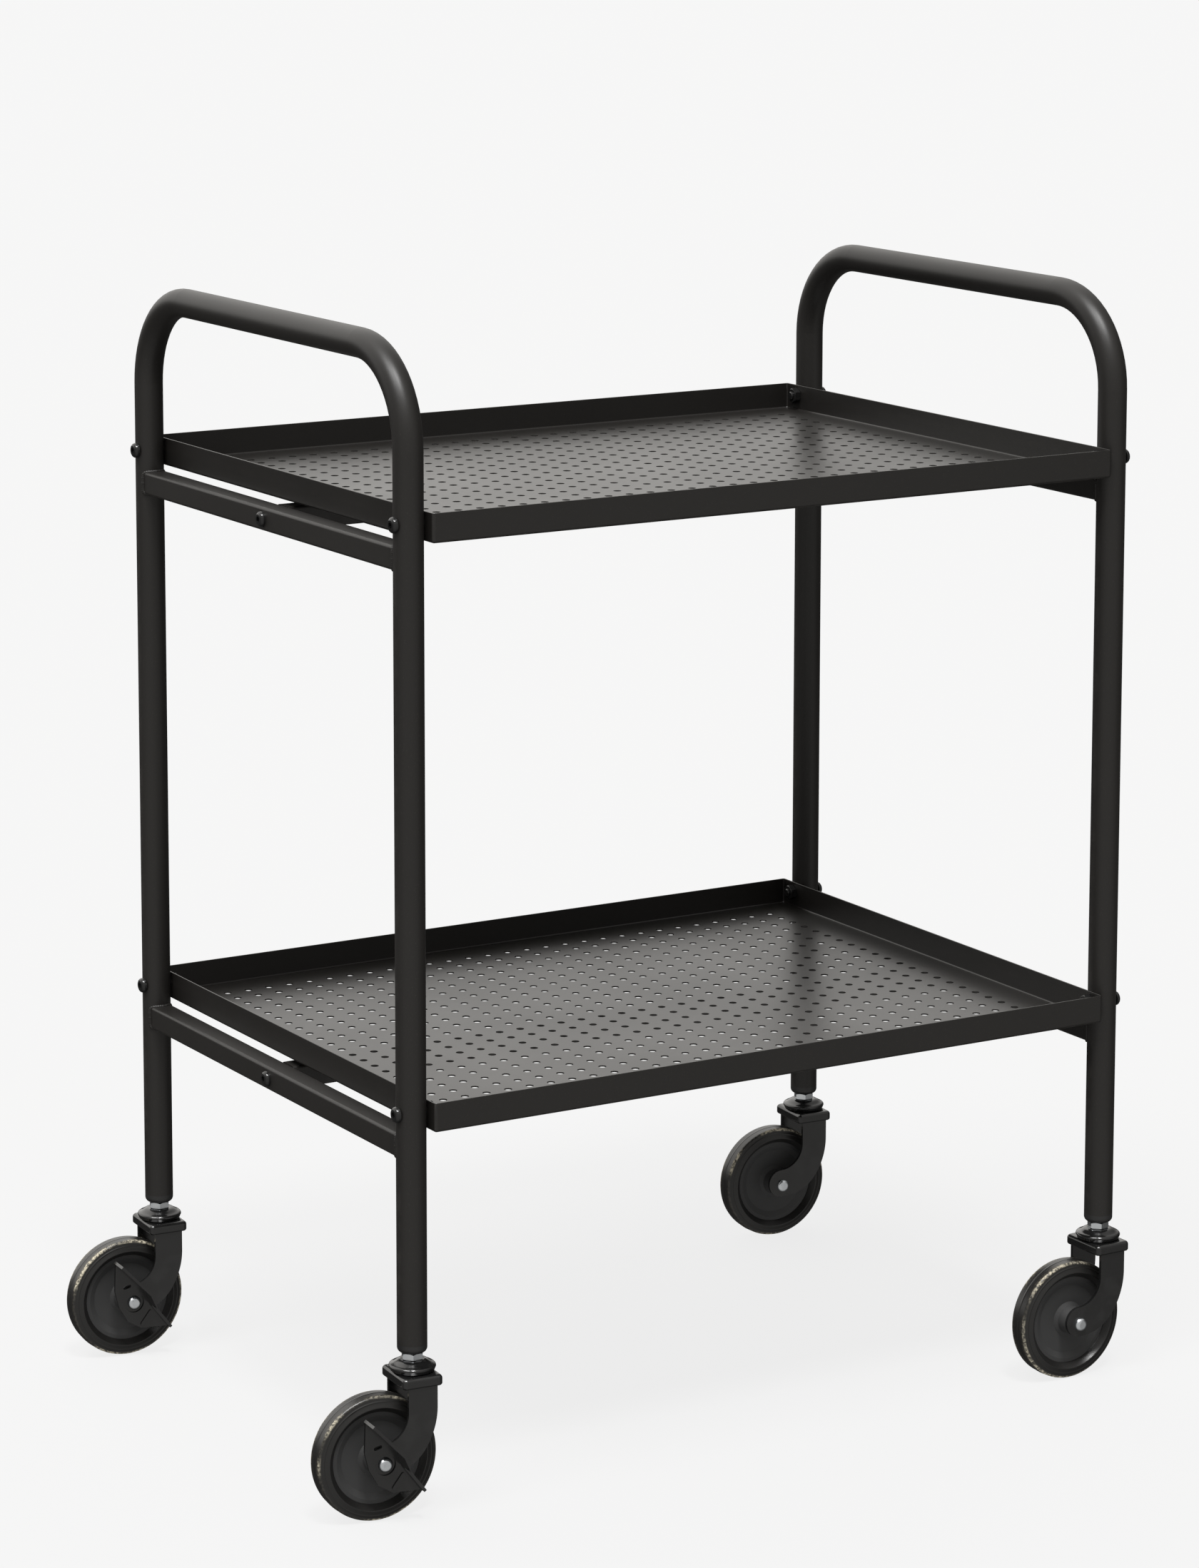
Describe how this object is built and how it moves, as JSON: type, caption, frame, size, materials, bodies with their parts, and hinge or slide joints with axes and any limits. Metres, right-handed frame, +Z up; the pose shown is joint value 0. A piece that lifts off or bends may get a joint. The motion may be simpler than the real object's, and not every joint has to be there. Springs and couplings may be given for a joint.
{
  "type": "service trolley",
  "caption": "Two-tier service trolley: perforated trays between bent-tube end frames with push handles, on swivel casters with foot brakes at one end.",
  "frame": {"origin": "on the floor, under the middle of the whole trolley's outline", "axes": "+X from the braked end to the other end, along the trays; +Y from front to back; +Z up"},
  "size_m": [0.642, 0.4324, 0.7754],
  "materials": {
    "black_powder_coat": "satin black powder coat on steel tube",
    "black_tray_sheet": "satin black powder coat on punched steel sheet",
    "black_screw": "black oxide steel",
    "black_plug": "satin black",
    "black_gloss_plate": "glossy black plating",
    "zinc": "bright zinc plate",
    "steel_ball": "plain steel",
    "tyre": "black rubber, dusty on the tread",
    "wheel_plastic": "black moulded plastic"
  },
  "bodies": {
    "frame": {"left_frame_tube": "black_powder_coat", "right_frame_tube": "black_powder_coat", "left_upper_crossbar": "black_powder_coat", "right_upper_crossbar": "black_powder_coat", "left_lower_crossbar": "black_powder_coat", "right_lower_crossbar": "black_powder_coat", "upper_spine": "black_powder_coat", "lower_spine": "black_powder_coat", "upper_tray_rim": "black_tray_sheet", "lower_tray_rim": "black_tray_sheet", "upper_tray_floor": "black_tray_sheet", "lower_tray_floor": "black_tray_sheet", "tray_screws": "black_screw", "tray_nuts": "black_screw", "spine_screws": "black_screw", "spine_inserts": "zinc", "foot_plugs": "black_plug", "front_left_stem": "zinc", "front_left_stem_nut": "zinc", "front_left_bearing_cap": "black_gloss_plate", "back_left_stem": "zinc", "back_left_stem_nut": "zinc", "back_left_bearing_cap": "black_gloss_plate", "front_right_stem": "zinc", "front_right_stem_nut": "zinc", "front_right_bearing_cap": "black_gloss_plate", "back_right_stem": "zinc", "back_right_stem_nut": "zinc", "back_right_bearing_cap": "black_gloss_plate"},
    "front_left_swivel": {"front_left_fork": "black_gloss_plate", "front_left_ball_race": "steel_ball", "front_left_axle": "zinc", "front_left_axle_nut": "zinc"},
    "front_left_wheel": {"front_left_tyre": "tyre", "front_left_wheel_core": "wheel_plastic", "front_left_wheel_bush": "steel_ball"},
    "front_left_brake": {"front_left_brake_lever": "black_gloss_plate"},
    "back_left_swivel": {"back_left_fork": "black_gloss_plate", "back_left_ball_race": "steel_ball", "back_left_axle": "zinc", "back_left_axle_nut": "zinc"},
    "back_left_wheel": {"back_left_tyre": "tyre", "back_left_wheel_core": "wheel_plastic", "back_left_wheel_bush": "steel_ball"},
    "back_left_brake": {"back_left_brake_lever": "black_gloss_plate"},
    "front_right_swivel": {"front_right_fork": "black_gloss_plate", "front_right_ball_race": "steel_ball", "front_right_axle": "zinc", "front_right_axle_nut": "zinc"},
    "front_right_wheel": {"front_right_tyre": "tyre", "front_right_wheel_core": "wheel_plastic", "front_right_wheel_bush": "steel_ball"},
    "back_right_swivel": {"back_right_fork": "black_gloss_plate", "back_right_ball_race": "steel_ball", "back_right_axle": "zinc", "back_right_axle_nut": "zinc"},
    "back_right_wheel": {"back_right_tyre": "tyre", "back_right_wheel_core": "wheel_plastic", "back_right_wheel_bush": "steel_ball"}
  },
  "joints": [
    {"name": "front_left_swivel_turn", "type": "hinge", "parent": "frame", "child": "front_left_swivel", "pos_m": [-0.2494, -0.1833, 0.109], "axis": [0, 0, 1], "continuous": true},
    {"name": "front_left_wheel_spin", "type": "hinge", "parent": "front_left_swivel", "child": "front_left_wheel", "pos_m": [-0.27731, -0.18105, 0.0425], "axis": [0.0802, 0.9968, 0], "continuous": true},
    {"name": "front_left_brake_press", "type": "hinge", "parent": "front_left_swivel", "child": "front_left_brake", "pos_m": [-0.27731, -0.18105, 0.0425], "axis": [0.0802, 0.9968, 0], "range_deg": [-25, 0]},
    {"name": "back_left_swivel_turn", "type": "hinge", "parent": "frame", "child": "back_left_swivel", "pos_m": [-0.2494, 0.1921, 0.109], "axis": [0, 0, 1], "continuous": true},
    {"name": "back_left_wheel_spin", "type": "hinge", "parent": "back_left_swivel", "child": "back_left_wheel", "pos_m": [-0.27734, 0.19391, 0.0425], "axis": [0.0645, 0.9979, 0], "continuous": true},
    {"name": "back_left_brake_press", "type": "hinge", "parent": "back_left_swivel", "child": "back_left_brake", "pos_m": [-0.27734, 0.19391, 0.0425], "axis": [0.0645, 0.9979, 0], "range_deg": [-25, 0]},
    {"name": "front_right_swivel_turn", "type": "hinge", "parent": "frame", "child": "front_right_swivel", "pos_m": [0.3066, -0.1833, 0.109], "axis": [0, 0, 1], "continuous": true},
    {"name": "front_right_wheel_spin", "type": "hinge", "parent": "front_right_swivel", "child": "front_right_wheel", "pos_m": [0.2786, -0.18379, 0.0425], "axis": [-0.0175, 0.9998, 0], "continuous": true},
    {"name": "back_right_swivel_turn", "type": "hinge", "parent": "frame", "child": "back_right_swivel", "pos_m": [0.3066, 0.1921, 0.109], "axis": [0, 0, 1], "continuous": true},
    {"name": "back_right_wheel_spin", "type": "hinge", "parent": "back_right_swivel", "child": "back_right_wheel", "pos_m": [0.27866, 0.19396, 0.0425], "axis": [0.0663, 0.9978, 0], "continuous": true}
  ]
}
